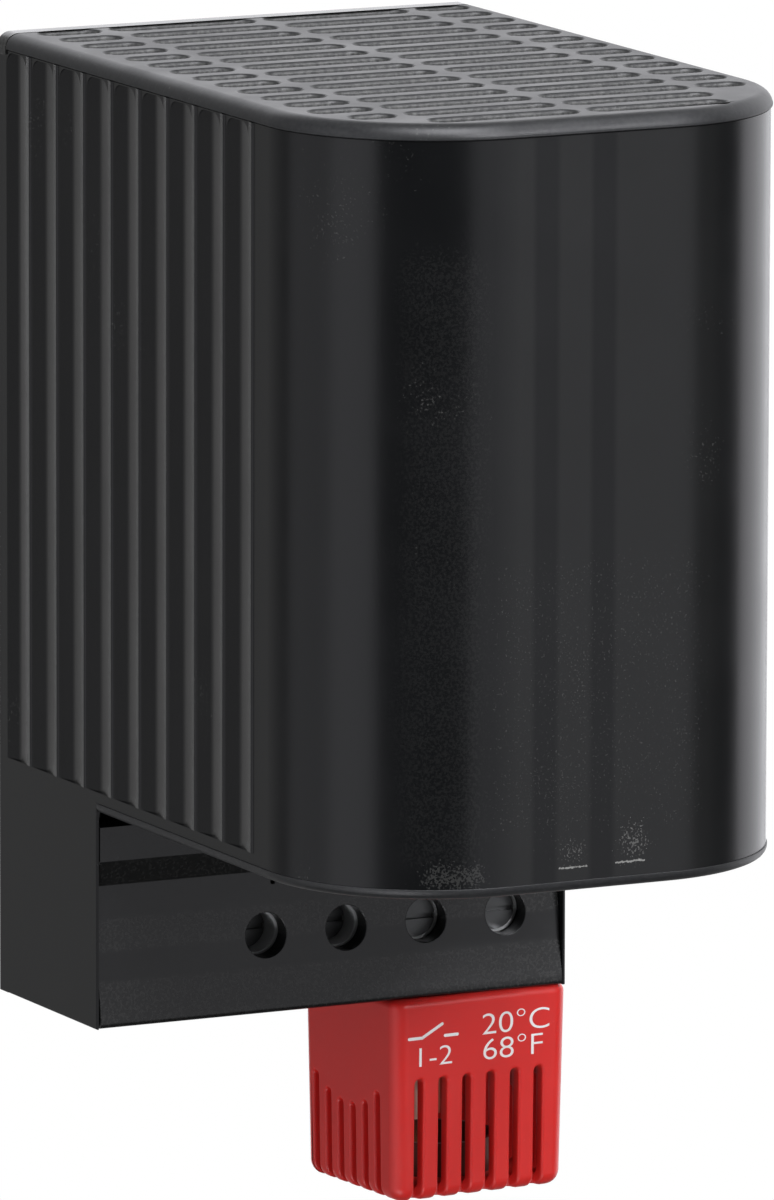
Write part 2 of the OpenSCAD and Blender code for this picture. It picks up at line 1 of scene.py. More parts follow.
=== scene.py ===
import math

import bmesh
import bpy
from mathutils import Matrix, Vector


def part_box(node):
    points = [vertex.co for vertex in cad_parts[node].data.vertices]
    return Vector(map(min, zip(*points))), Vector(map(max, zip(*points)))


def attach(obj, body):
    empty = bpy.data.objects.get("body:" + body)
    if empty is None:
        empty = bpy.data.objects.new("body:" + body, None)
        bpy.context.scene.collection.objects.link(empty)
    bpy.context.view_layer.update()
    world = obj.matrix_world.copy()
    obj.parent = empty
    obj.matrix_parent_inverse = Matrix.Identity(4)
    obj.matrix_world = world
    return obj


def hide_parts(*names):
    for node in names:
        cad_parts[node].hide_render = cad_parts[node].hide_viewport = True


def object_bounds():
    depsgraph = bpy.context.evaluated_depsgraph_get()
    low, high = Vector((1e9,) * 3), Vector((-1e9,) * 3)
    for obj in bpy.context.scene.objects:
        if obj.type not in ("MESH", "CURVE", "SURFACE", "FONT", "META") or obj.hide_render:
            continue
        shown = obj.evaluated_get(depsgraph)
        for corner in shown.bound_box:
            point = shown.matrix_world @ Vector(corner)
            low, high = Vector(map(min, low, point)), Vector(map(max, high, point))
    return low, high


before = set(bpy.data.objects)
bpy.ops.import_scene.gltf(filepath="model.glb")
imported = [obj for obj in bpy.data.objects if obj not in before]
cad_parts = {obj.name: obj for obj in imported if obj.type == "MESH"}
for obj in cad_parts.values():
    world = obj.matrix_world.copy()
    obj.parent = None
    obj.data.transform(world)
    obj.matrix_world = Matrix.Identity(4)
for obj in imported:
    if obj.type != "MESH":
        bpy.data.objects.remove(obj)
cadLow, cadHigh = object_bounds()
mm = 0.001
near = 0.02  # millimetres within which two places count as one
same = 1e-6  # the same for ends of one edge, in metres

# The CAD is read from the rear face and the underside of the base: x, depth to the front, height
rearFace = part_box("rear_plate")[1].y
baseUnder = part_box("base_floor")[0].z


def spot(x, depth, height):
    return Vector((x * mm, rearFace - depth * mm, baseUnder + height * mm))


def depthOf(point):
    return (rearFace - point.y) / mm


def heightOf(point):
    return (point.z - baseUnder) / mm


# Modelling by hand: what is selected, what is active, and which mode

def hold(*pieces):
    if bpy.context.mode != "OBJECT":
        bpy.ops.object.mode_set(mode="OBJECT")
    bpy.ops.object.select_all(action="DESELECT")
    for piece in pieces:
        piece.select_set(True)
        bpy.context.view_layer.objects.active = piece


def edit(piece):
    hold(piece)
    bpy.ops.object.mode_set(mode="EDIT")


def pick(piece, kind, inside):
    # selects the vertices, edges or faces whose every corner passes the test
    bpy.ops.mesh.select_mode(type=kind)
    bpy.ops.mesh.select_all(action="DESELECT")
    shape = bmesh.from_edit_mesh(piece.data)
    for part in {"VERT": shape.verts, "EDGE": shape.edges, "FACE": shape.faces}[kind]:
        if all(inside(corner.co) for corner in ([part] if kind == "VERT" else part.verts)):
            part.select_set(True)
    shape.select_flush_mode()
    bmesh.update_edit_mesh(piece.data)


def named(name):
    # the newest primitive gets its name, and its place goes into its mesh
    piece = bpy.context.object
    piece.name = piece.data.name = name
    bpy.ops.object.transform_apply()
    return piece


def block(name, low, high):
    hold()
    bpy.ops.mesh.primitive_cube_add(size=1, location=(low + high) / 2)
    piece = bpy.context.object
    piece.scale = [abs(b - a) for a, b in zip(low, high)]
    return named(name)


def joined(pieces):
    hold(*pieces)
    if len(pieces) > 1:
        bpy.ops.object.join()
    return bpy.context.object


def shaped(piece, kind, **settings):
    hold(piece)
    change = piece.modifiers.new(kind.lower(), kind)
    for key, value in settings.items():
        setattr(change, key, value)
    bpy.ops.object.modifier_apply(modifier=change.name)
    return piece


def cutAway(piece, cutters):
    cutter = joined(cutters)
    shaped(piece, "BOOLEAN", object=cutter, operation="DIFFERENCE", solver="EXACT")
    bpy.data.objects.remove(cutter)
    return piece


def softened(piece, radius, steps=2, angle=38, clamp=True):
    # moulded parts have no sharp edge: each one gets its small round, and flat faces stay flat
    hold(piece)
    bpy.ops.object.shade_smooth()
    shaped(piece, "BEVEL", width=radius * mm, segments=steps, limit_method="ANGLE",
           angle_limit=math.radians(angle), miter_outer="MITER_ARC", use_clamp_overlap=clamp)
    shaped(piece, "WEIGHTED_NORMAL", mode="FACE_AREA", weight=50, keep_sharp=False)
    return piece


def placed(piece, node, finish):
    # a finished piece rides on the body, stands for its CAD node and takes its finish
    piece.data.materials.clear()
    piece.data.materials.append(finish)
    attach(piece, "root")
    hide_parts(node)
    print("piece", piece.name, len(piece.data.polygons), "faces")
    return piece


# Materials

def linear(code):
    parts = [int(code[i:i + 2], 16) / 255 for i in (1, 3, 5)]
    return [p / 12.92 if p <= 0.04045 else ((p + 0.055) / 1.055) ** 2.4 for p in parts] + [1]


def addNode(tree, kind, settings=None, links=None):
    node = tree.nodes.new(kind)
    for key, value in (settings or {}).items():
        if isinstance(key, str) and hasattr(node, key):
            setattr(node, key, value)
        else:
            node.inputs[key].default_value = value
    for key, (source, output) in (links or {}).items():
        tree.links.new(source.outputs[output], node.inputs[key])
    return node


def newMaterial(name):
    made = bpy.data.materials.new(name)
    made.use_nodes = True
    tree = made.node_tree
    tree.nodes.clear()
    return made, tree, addNode(tree, "ShaderNodeTexCoord")


def perMetre(size):
    # texture scale for a pattern whose features are this many millimetres apart
    return 1 / (size * mm)


def surface(tree, settings, links):
    shader = addNode(tree, "ShaderNodeBsdfPrincipled", settings, links)
    addNode(tree, "ShaderNodeOutputMaterial", {}, {"Surface": (shader, "BSDF")})


def noise(tree, source, output, size, detail):
    return addNode(tree, "ShaderNodeTexNoise", {"Scale": perMetre(size), "Detail": detail},
                   {"Vector": (source, output)})


def glossFrom(tree, source, look):
    # roughness from the middle of a noise's range
    return addNode(tree, "ShaderNodeMapRange", {"From Min": 0.3, "From Max": 0.7, "To Min": look["smooth"],
                                                "To Max": look["rough"]}, {"Value": (source, "Fac")})


def between(tree, source, output, low, high, soft):
    # 1 inside a stretch of one axis, in metres, 0 outside it, with soft ends
    rise = addNode(tree, "ShaderNodeMapRange", {"From Min": low - soft, "From Max": low + soft},
                   {"Value": (source, output)})
    fall = addNode(tree, "ShaderNodeMapRange", {"From Min": high - soft, "From Max": high + soft, "To Min": 1.0,
                                                "To Max": 0.0}, {"Value": (source, output)})
    return worked(tree, "MULTIPLY", rise, fall)


def worked(tree, operation, first, second):
    # arithmetic on nodes and plain numbers
    settings, links = {"operation": operation}, {}
    for key, term in enumerate((first, second)):
        if isinstance(term, (int, float)):
            settings[key] = term
        else:
            links[key] = (term, 0)
    return addNode(tree, "ShaderNodeMath", settings, links)


def specks(tree, place, size, start, full):
    # fine grains of dust: 0 to 1
    grain = noise(tree, place, "Object", size, 2.0)
    return addNode(tree, "ShaderNodeMapRange", {"From Min": start, "From Max": full}, {"Value": (grain, "Fac")})


def scattered(tree, place, patch, size, rare):
    # grains that get fewer towards the end of their patch
    grain = noise(tree, place, "Object", size, 2.0)
    fewer = worked(tree, "MULTIPLY", worked(tree, "SUBTRACT", 1.0, patch), scatter["fade"])
    left = worked(tree, "SUBTRACT", grain, fewer)
    return addNode(tree, "ShaderNodeMapRange", {"From Min": rare, "From Max": rare + scatter["ramp"]},
                   {"Value": (left, 0)})


# mixes pale grey in by a share: settled dust, and on the housing's front also a painted reflection
def dustAndSheenLayer(tree, source, share):
    return addNode(tree, "ShaderNodeMix", {"data_type": "RGBA", 7: linear(dustAndSheenGrey)},
                   {0: (share, 0), 6: (source, 2)})


def mouldedPlastic(name, look, layer=None):
    # satin plastic from a spark-eroded tool: fine even grain, faint cloudy gloss, settled dust specks
    made, tree, place = newMaterial(name)
    grain = noise(tree, place, "Object", look["grain"], 3.0)
    cloud = noise(tree, place, "Object", look["cloud"], 4.0)
    tone = addNode(tree, "ShaderNodeMix", {"data_type": "RGBA", 6: linear(look["deep"]), 7: linear(look["pale"])},
                   {0: (cloud, "Fac")})
    dusty = worked(tree, "MULTIPLY", noise(tree, place, "Object", look["speck"], 2.0),
                   noise(tree, place, "Object", look["drift"], 2.0))
    dust = addNode(tree, "ShaderNodeMapRange", {"From Min": look["dustFrom"], "From Max": look["dustFull"],
                                                "To Max": look["dustShare"]}, {"Value": (dusty, "Value")})
    colour = addNode(tree, "ShaderNodeMix", {"data_type": "RGBA", 7: linear(look["dust"])},
                     {0: (dust, "Result"), 6: (tone, 2)})
    if layer:
        colour = layer(tree, place, colour)
    relief = addNode(tree, "ShaderNodeBump", {"Strength": look["relief"], "Distance": plasticDepth * mm},
                     {"Height": (grain, "Fac")})
    surface(tree, {"IOR": look["ior"], "Subsurface Weight": look.get("inner", 0.0),
                   "Subsurface Scale": innerLight["reach"] * mm, "Subsurface Radius": innerLight["colours"]},
            {"Base Color": (colour, 2), "Roughness": (glossFrom(tree, cloud, look), "Result"),
             "Normal": (relief, "Normal")})
    return made


def plainMetal(name, look):
    # rolled or drawn metal: fine lines one way, small patches of duller surface
    made, tree, place = newMaterial(name)
    stretch = addNode(tree, "ShaderNodeMapping", {"Scale": look["lines"]}, {"Vector": (place, "Object")})
    lines = noise(tree, stretch, "Vector", look["grain"], 3.0)
    patch = noise(tree, place, "Object", look["cloud"], 4.0)
    colour = addNode(tree, "ShaderNodeMix", {"data_type": "RGBA", 6: linear(look["deep"]), 7: linear(look["pale"])},
                     {0: (patch, "Fac")})
    relief = addNode(tree, "ShaderNodeBump", {"Strength": look["relief"], "Distance": metalDepth * mm},
                     {"Height": (lines, "Fac")})
    surface(tree, {"Metallic": look.get("metal", 1.0)},
            {"Base Color": (colour, 2), "Roughness": (glossFrom(tree, lines, look), "Result"),
             "Normal": (relief, "Normal")})
    return made


# grey of settled dust, also the colour of the painted reflection on the housing's front
dustAndSheenGrey = "#a7a7a2"
plasticDepth, metalDepth = 0.05, 0.02  # depth of the fine relief
innerLight = dict(reach=1.2, colours=(1.0, 0.25, 0.2))  # red plastic lets some light in
scatter = dict(fade=0.6, ramp=0.1)
# painted reflection: a pale sheen over the housing's flat front, with two stripes left darker, standing in for streaks
# of lamp light in its gloss
frontSheen = dict(start=84.5, full=87.5, flat=(-10.5, 16.5), flatSoft=1.5, share=0.016,
                 sheenGaps=((-7.2, -4.2), (-0.1, 2.9)), sheenGapsSoft=0.35)
# dust that has settled on the front: x and height from and to, soft end, grain size, how rare it is, share
settled = (((-4.0, -0.3), (27.65, 27.95), 0.14, 0.3, 0.28, 0.5),
           ((3.0, 6.9), (27.75, 28.05), 0.14, 0.3, 0.28, 0.5),
           ((-4.4, 0.2), (26.0, 33.0), 3.2, 0.26, 0.39, 0.18),
           ((2.6, 8.2), (26.0, 34.0), 3.6, 0.26, 0.38, 0.2),
           ((-21.0, -11.5), (25.0, 30.5), 2.2, 0.26, 0.44, 0.06),
           ((-25.0, -10.5), (26.0, 100.0), 4.0, 0.3, 0.46, 0.011),
           ((-20.0, 22.0), (24.0, 70.0), 9.0, 0.26, 0.63, 0.07))
panelFilm = dict(bands={(0.2, 5.3): 0.06, (5.5, 8.7): 0.01, (8.7, 12.4): 0.06, (12.4, 16.4): 0.02,
                        (16.4, 19.3): 0.05, (19.3, 23.4): 0.02}, soft=0.25, grains=0.34, thin=0.4, thick=0.62,
                 least=0.3)
capFilm = dict(low=109.0, soft=0.1, share=0.07, grains=0.5, thin=0.35, thick=0.65, least=0.5)
grilleFilm = dict(halfFlat=10.2, front=70.0, reach=17.75, soft=0.15, steep=(0.35, 0.85), upright=0.13, land=0.022,
                  grains=0.5, thin=0.35, thick=0.65, least=0.5)


def housingDustAndSheen(tree, place, source):
    # painted reflection on the front: a pale sheen over its flat part with two darker stripes left out, standing in for
    # streaks of lamp light in its gloss; and settled dust low down
    axis = addNode(tree, "ShaderNodeSeparateXYZ", {}, {0: (place, "Object")})
    front = addNode(tree, "ShaderNodeMapRange", {"From Min": spot(0, frontSheen["start"], 0).y, "From Max": spot(
        0, frontSheen["full"], 0).y}, {"Value": (axis, "Y")})
    sheenGaps = worked(tree, "ADD", *[between(tree, axis, "X", a * mm, b * mm, frontSheen["sheenGapsSoft"] * mm)
                                  for a, b in frontSheen["sheenGaps"]])
    left, right = frontSheen["flat"]
    flat = between(tree, axis, "X", left * mm, right * mm, frontSheen["flatSoft"] * mm)
    # the painted reflection: pale grey over the flat front, left out in the two stripes
    sheenAndDust = worked(tree, "MULTIPLY", worked(tree, "MULTIPLY", worked(tree, "MULTIPLY", worked(
        tree, "SUBTRACT", 1, sheenGaps), front), flat), frontSheen["share"])
    for (left, right), (low, high), soft, size, rare, share in settled:
        patch = worked(tree, "MULTIPLY", between(tree, axis, "X", left * mm, right * mm, soft * mm),
                       between(tree, axis, "Z", baseUnder + low * mm, baseUnder + high * mm, soft * mm))
        grains = worked(tree, "MULTIPLY", scattered(tree, place, patch, size, rare), share)
        sheenAndDust = worked(tree, "ADD", sheenAndDust, worked(tree, "MULTIPLY", front, grains))
    return dustAndSheenLayer(tree, source, sheenAndDust)


def panelBandFilm(tree, place, source):
    # pale grey in fine grains, its share set band by band
    axis = addNode(tree, "ShaderNodeSeparateXYZ", {}, {0: (place, "Object")})
    share = None
    for (low, high), amount in panelFilm["bands"].items():
        band = worked(tree, "MULTIPLY", between(tree, axis, "Z", baseUnder + low * mm, baseUnder + high * mm,
                                                panelFilm["soft"] * mm), amount)
        share = worked(tree, "ADD", share, band) if share else band
    grains = worked(tree, "MAXIMUM", specks(tree, place, panelFilm["grains"], panelFilm["thin"], panelFilm["thick"]),
                    panelFilm["least"])
    return dustAndSheenLayer(tree, source, worked(tree, "MULTIPLY", share, grains))


def capDust(tree, place, source):
    # the rear plate's cap closes the first row of slots and is as dusty as they are
    axis = addNode(tree, "ShaderNodeSeparateXYZ", {}, {0: (place, "Object")})
    top = between(tree, axis, "Z", baseUnder + capFilm["low"] * mm, 1, capFilm["soft"] * mm)
    grains = worked(tree, "ADD", specks(tree, place, capFilm["grains"], capFilm["thin"], capFilm["thick"]),
                    capFilm["least"])
    return dustAndSheenLayer(tree, source, worked(tree, "MULTIPLY", worked(tree, "MULTIPLY", top, grains), capFilm["share"]))


def grilleDust(tree, place, source):
    # grey dust clings to the walls of the slots, less of it to the lands between them
    axis = addNode(tree, "ShaderNodeSeparateXYZ", {}, {0: (place, "Object")})
    facing = addNode(tree, "ShaderNodeSeparateXYZ", {}, {0: (place, "Normal")})
    flat = addNode(tree, "ShaderNodeMath", {"operation": "ABSOLUTE"}, {0: (facing, "Z")})
    steepest, flattest = grilleFilm["steep"]
    upright = addNode(tree, "ShaderNodeMapRange", {"From Min": steepest, "From Max": flattest, "To Min": 1.0,
                                                   "To Max": 0.0}, {"Value": (flat, 0)})
    wide = addNode(tree, "ShaderNodeMath", {"operation": "ABSOLUTE"}, {0: (axis, "X")})
    ahead = addNode(tree, "ShaderNodeMath", {"operation": "SUBTRACT", 0: spot(0, grilleFilm["front"], 0).y},
                    {1: (axis, "Y")})
    past = [worked(tree, "MAXIMUM", worked(tree, "SUBTRACT", wide, grilleFilm["halfFlat"] * mm), 0),
            worked(tree, "MAXIMUM", ahead, 0)]
    reach = worked(tree, "POWER", worked(tree, "ADD", *[worked(tree, "POWER", side, 2) for side in past]), 0.5)
    low, high = [(grilleFilm["reach"] + end * grilleFilm["soft"]) * mm for end in (-1, 1)]
    inside = addNode(tree, "ShaderNodeMapRange", {"From Min": low, "From Max": high, "To Min": 1.0, "To Max": 0.0},
                     {"Value": (reach, 0)})
    walls = worked(tree, "MULTIPLY", worked(tree, "MULTIPLY", upright, inside), grilleFilm["upright"])
    grains = worked(tree, "ADD", specks(tree, place, grilleFilm["grains"], grilleFilm["thin"], grilleFilm["thick"]),
                    grilleFilm["least"])
    return dustAndSheenLayer(tree, source, worked(tree, "MULTIPLY", worked(tree, "ADD", walls, grilleFilm["land"]), grains))


blackLook = dict(deep="#08090a", pale="#0d0e0f", dust=dustAndSheenGrey, grain=0.3, cloud=11, speck=0.3, drift=17,
                 dustFrom=0.42, dustFull=0.5, dustShare=0.1, smooth=0.22, rough=0.27, relief=0.1, ior=1.5)
blackPlastic = mouldedPlastic("satinBlackPolyamide", blackLook)
housingPlastic = mouldedPlastic("housingBlackPolyamide", blackLook, housingDustAndSheen)
rearPlastic = mouldedPlastic("rearBlackPolyamide", blackLook, capDust)
panelPlastic = mouldedPlastic("panelBlackPolyamide", dict(blackLook, ior=1.6), panelBandFilm)
grillePlastic = mouldedPlastic("satinCharcoalPolyamide", dict(
    deep="#1b1c1d", pale="#222325", dust=dustAndSheenGrey, grain=0.3, cloud=7, speck=0.35, drift=9,
    dustFrom=0.4, dustFull=0.52, dustShare=0.15, smooth=0.4, rough=0.48, relief=0.15, ior=1.5), grilleDust)
redPlastic = mouldedPlastic("satinRedPolycarbonate", dict(
    deep="#d92c28", pale="#e2342f", dust="#e0908a", grain=0.35, cloud=6, speck=0.4, drift=8,
    dustFrom=0.42, dustFull=0.55, dustShare=0.15, smooth=0.34, rough=0.42, relief=0.12, ior=1.5, inner=0.35))
whiteInk = mouldedPlastic("whitePadPrint", dict(
    deep="#f4eeea", pale="#fcf9f6", dust="#dca49e", grain=0.2, cloud=2, speck=0.25, drift=3,
    dustFrom=0.4, dustFull=0.55, dustShare=0.35, smooth=0.45, rough=0.55, relief=0.1, ior=1.5))
greyPlastic = mouldedPlastic("greyInsulationResin", dict(
    deep="#d2d3d3", pale="#dfe0e0", dust=dustAndSheenGrey, grain=0.25, cloud=5, speck=0.4, drift=6,
    dustFrom=0.42, dustFull=0.55, dustShare=0.2, smooth=0.4, rough=0.5, relief=0.2, ior=1.5))
darkInsulator = mouldedPlastic("brownPhenolicResin", dict(
    deep="#3c1511", pale="#4a1d16", dust="#7a7068", grain=0.25, cloud=4, speck=0.35, drift=5,
    dustFrom=0.4, dustFull=0.55, dustShare=0.2, smooth=0.42, rough=0.52, relief=0.2, ior=1.55))
ceramic = mouldedPlastic("unglazedSteatite", dict(
    deep="#cfc8b8", pale="#ddd7c9", dust="#f0ece2", grain=0.2, cloud=3, speck=0.3, drift=5,
    dustFrom=0.4, dustFull=0.55, dustShare=0.3, smooth=0.55, rough=0.7, relief=0.4, ior=1.6))
heatingStone = mouldedPlastic("sinteredTitanateStone", dict(
    deep="#3a3634", pale="#4a4542", dust="#7d7672", grain=0.2, cloud=3, speck=0.3, drift=5,
    dustFrom=0.4, dustFull=0.55, dustShare=0.3, smooth=0.6, rough=0.75, relief=0.5, ior=1.7))
amberFilm = mouldedPlastic("polyimideFilm", dict(
    deep="#9a5a18", pale="#ad6a20", dust="#d6a866", grain=0.4, cloud=6, speck=0.5, drift=8,
    dustFrom=0.44, dustFull=0.55, dustShare=0.1, smooth=0.2, rough=0.3, relief=0.05, ior=1.65))
redSheath = mouldedPlastic("redSilicone", dict(
    deep="#7d2f29", pale="#8c3b32", dust="#b08078", grain=0.25, cloud=4, speck=0.3, drift=5,
    dustFrom=0.4, dustFull=0.55, dustShare=0.25, smooth=0.5, rough=0.62, relief=0.25, ior=1.42))
blueSheath = mouldedPlastic("blueSilicone", dict(
    deep="#33527c", pale="#3c5d8c", dust="#8fa3bd", grain=0.25, cloud=4, speck=0.3, drift=5,
    dustFrom=0.4, dustFull=0.55, dustShare=0.25, smooth=0.5, rough=0.62, relief=0.25, ior=1.42))
brass = plainMetal("plainBrass", dict(deep="#b9974a", pale="#cfae62", lines=(1, 1, 0.1), grain=0.12, cloud=3,
                                      smooth=0.24, rough=0.4, relief=0.2))
copperAlloy = plainMetal("rolledBronzeLeaf", dict(metal=0.45, deep="#d8987a", pale="#e6ad90", lines=(1, 1, 0.1),
                                                  grain=0.12, cloud=2, smooth=0.25, rough=0.42, relief=0.2))
tinnedSheet = plainMetal("tinnedSheet", dict(metal=0.45, deep="#e4d6bd", pale="#efe3cd", lines=(1, 1, 0.1),
                                             grain=0.12, cloud=3, smooth=0.28, rough=0.46, relief=0.2))
zincSteel = plainMetal("zincPlatedSteel", dict(deep="#a2a4a6", pale="#bcbec0", lines=(1, 1, 1), grain=0.2,
                                               cloud=3, smooth=0.28, rough=0.42, relief=0.15))
# screw steel made darker than zinc plating as painted shade, for the screw heads deep in the panel's holes
shadedScrewSteel = plainMetal("zincSteelDarkenedForShade", dict(deep="#606161", pale="#6f7070", lines=(1, 1, 1), grain=0.2,
                                               cloud=3, smooth=0.34, rough=0.46, relief=0.15))
# the disc cup's steel made dark as painted shade, so that it reads as the shade deep in the thermostat's vents
shadeDarkSteel = plainMetal("shadeDarkenedSteel", dict(deep="#5a3a34", pale="#6a453d", lines=(1, 1, 1), grain=0.2,
                                                 cloud=3, smooth=0.34, rough=0.46, relief=0.15))
springSteel = plainMetal("springSteelSheet", dict(deep="#8d9093", pale="#a3a6a9", lines=(0.1, 1, 1), grain=0.15,
                                                  cloud=6, smooth=0.26, rough=0.42, relief=0.2))
aluminium = plainMetal("extrudedAluminium", dict(deep="#b2b5b9", pale="#c6c9cd", lines=(1, 1, 0.05), grain=0.15,
                                                 cloud=8, smooth=0.3, rough=0.48, relief=0.25))
print("materials", len(bpy.data.materials))

finishOf = {
    "rear_plate": rearPlastic, "base_floor": blackPlastic, "housing_shell": housingPlastic,
    "terminal_panel": panelPlastic, "top_grille": grillePlastic, "bottom_grille": grillePlastic,
    "terminal_block": greyPlastic, "terminal_clamp_1": brass, "terminal_clamp_2": brass,
    "terminal_clamp_3": brass, "terminal_clamp_4": brass, "terminal_screws": shadedScrewSteel,
    "link_lead": redSheath, "switched_lead": redSheath, "neutral_lead": blueSheath,
    "heater_profile": aluminium, "standoff_upper": ceramic, "standoff_lower": ceramic,
    "profile_screws": zincSteel, "insulation_sleeve": amberFilm, "electrode_left": aluminium,
    "electrode_right": aluminium, "ptc_stones": heatingStone, "thermostat_housing": redPlastic,
    "thermostat_lid": redPlastic, "switch_base": darkInsulator, "prong_left": tinnedSheet,
    "prong_right": tinnedSheet, "contact_leaf": copperAlloy, "disc_cup": shadeDarkSteel, "bimetal_disc": brass,
    "din_clip": springSteel, "clip_rivets": zincSteel, "housing_screws": zincSteel}
for node, finish in finishOf.items():
    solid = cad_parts[node]
    solid.data.materials.clear()
    solid.data.materials.append(finish)
print("finishes on", len(finishOf), "nodes")

# Modelled pieces. Sizes are millimetres, from the rear face, the middle and the underside of the base.

def runsAlong(a, b, axis):
    return all(abs(a[i] - b[i]) < same for i in range(3) if i != axis)


def isAt(value, target):
    return abs(value - target) < near


def roundEdges(piece, suits, radius, steps):
    # rounds the edges whose two ends pass the test together
    edit(piece)
    bpy.ops.mesh.select_mode(type="EDGE")
    bpy.ops.mesh.select_all(action="DESELECT")
    shape = bmesh.from_edit_mesh(piece.data)
    for edge in shape.edges:
        edge.select_set(suits(edge.verts[0].co, edge.verts[1].co))
    shape.select_flush_mode()
    bmesh.update_edit_mesh(piece.data)
    bpy.ops.mesh.bevel(offset=radius * mm, segments=steps, affect="EDGES", clamp_overlap=False)
    hold(piece)
    return piece


def moveCorners(piece, suits, shift):
    edit(piece)
    pick(piece, "VERT", suits)
    bpy.ops.transform.translate(value=shift)
    hold(piece)


def cutAcross(piece, point, normal):
    edit(piece)
    bpy.ops.mesh.select_all(action="SELECT")
    bpy.ops.mesh.bisect(plane_co=point, plane_no=normal)
    hold(piece)


def copied(piece, shift):
    twin = piece.copy()
    twin.data = piece.data.copy()
    bpy.context.collection.objects.link(twin)
    twin.data.transform(Matrix.Translation(Vector(shift)))
    return twin


def added(piece, extras):
    extra = joined(extras)
    shaped(piece, "BOOLEAN", object=extra, operation="UNION", solver="EXACT")
    bpy.data.objects.remove(extra)
    return piece


def roundBar(name, x, height, depths, radius, sides=48):
    # a round cutter from one depth to another
    hold()
    ends = [spot(x, depth, height) for depth in depths]
    bpy.ops.mesh.primitive_cylinder_add(vertices=sides, radius=radius * mm, depth=(ends[0] - ends[1]).length,
                                        location=(ends[0] + ends[1]) / 2, rotation=(math.pi / 2, 0, 0))
    return named(name)


def flatPlan(name, plan, height):
    # the housing's plan as one face: square behind, two large round corners in front
    hold()
    bpy.ops.mesh.primitive_plane_add(size=1, location=spot(0, (plan["rear"] + plan["front"]) / 2, height))
    bpy.context.object.scale = (2 * plan["half"] * mm, (plan["front"] - plan["rear"]) * mm, 1)
    sheet = named(name)
    edit(sheet)
    pick(sheet, "VERT", lambda at: isAt(depthOf(at), plan["front"]))
    bpy.ops.mesh.bevel(offset=plan["corner"] * mm, segments=plan["steps"], affect="VERTICES")
    return sheet


# Housing: walls raised from the plan, the base's sides below, flutes that fall away from each rib
shell = dict(half=30.0, rear=2.2, front=90.0, corner=20.0, steps=48, foot=26.3, head=109.6, wall=2.2, edge=0.14,
             smooth=32)
base = dict(depth=25.9, lipDepth=22.25, lip=0.3, roof=0.1)
boss = dict(size=7.0, length=10.0, heights=(36.0, 100.0), root=0.5, bore=1.3, boreDepths=(0, 13))
ribs = dict(count=9, pitch=7.2, first=8.7, rise=3.7, step=0.4, proud=0.2, deep=0.4, foot=27.6, head=109.45,
            corner=1.6, hollow=0.5, root=0.3, edge=0.22)


def makeWalls():
    walls = flatPlan("housingShell", shell, shell["foot"])
    bpy.ops.mesh.select_all(action="SELECT")
    bpy.ops.mesh.delete(type="ONLY_FACE")
    pick(walls, "EDGE", lambda at: isAt(depthOf(at), shell["rear"]))
    bpy.ops.mesh.delete(type="EDGE")
    bpy.ops.mesh.select_all(action="SELECT")
    bpy.ops.mesh.extrude_edges_move(TRANSFORM_OT_translate={"value": (0, 0, (shell["head"] - shell["foot"]) * mm)})
    hold(walls)
    front = min(walls.data.polygons, key=lambda face: face.center.y)
    if front.normal.y > 0:
        edit(walls)
        bpy.ops.mesh.select_all(action="SELECT")
        bpy.ops.mesh.flip_normals()
    return shaped(walls, "SOLIDIFY", thickness=shell["wall"] * mm, offset=-1, use_even_offset=True)


def makeFlute(side, start, edgeDepth):
    # a box whose inner face is folded in two slopes, with a soft hollow and round upper corners
    half, deep = shell["half"], ribs["deep"]
    foot = edgeDepth - ribs["rise"]
    end = edgeDepth - ribs["rise"] * ribs["proud"] / (ribs["proud"] + deep)
    flute = block("flute", spot(side * (half - deep), start, ribs["foot"]),
                  spot(side * (half + 1), end, ribs["head"]))
    cutAcross(flute, spot(0, foot, 0), (0, 1, 0))
    inner = side * (half - deep) * mm
    moveCorners(flute, lambda at: abs(at.x - inner) < same and not isAt(depthOf(at), foot),
                (side * deep * mm, 0, 0))
    roundEdges(flute, lambda a, b: runsAlong(a, b, 2) and abs(a.x - inner) < same, ribs["hollow"], 5)
    for depth in (start, end):
        roundEdges(flute, lambda a, b: runsAlong(a, b, 0) and isAt(heightOf(a), ribs["head"])
                   and isAt(depthOf(a), depth), ribs["corner"], 8)
    return flute


def makeRib(side, edgeDepth):
    half, proud = shell["half"], ribs["proud"]
    start = edgeDepth - ribs["rise"] * proud / (proud + ribs["deep"])
    rib = block("rib", spot(side * (half - ribs["root"]), start, ribs["foot"]),
                spot(side * (half + proud), edgeDepth + ribs["step"], shell["head"]))
    outer = side * (half + proud) * mm
    moveCorners(rib, lambda at: abs(at.x - outer) < same and isAt(depthOf(at), start), (-side * proud * mm, 0, 0))
    moveCorners(rib, lambda at: abs(at.x - outer) < same, (0, ribs["step"] * mm, 0))
    return roundEdges(rib, lambda a, b: runsAlong(a, b, 2) and abs(a.x - outer) < same, ribs["edge"], 4)


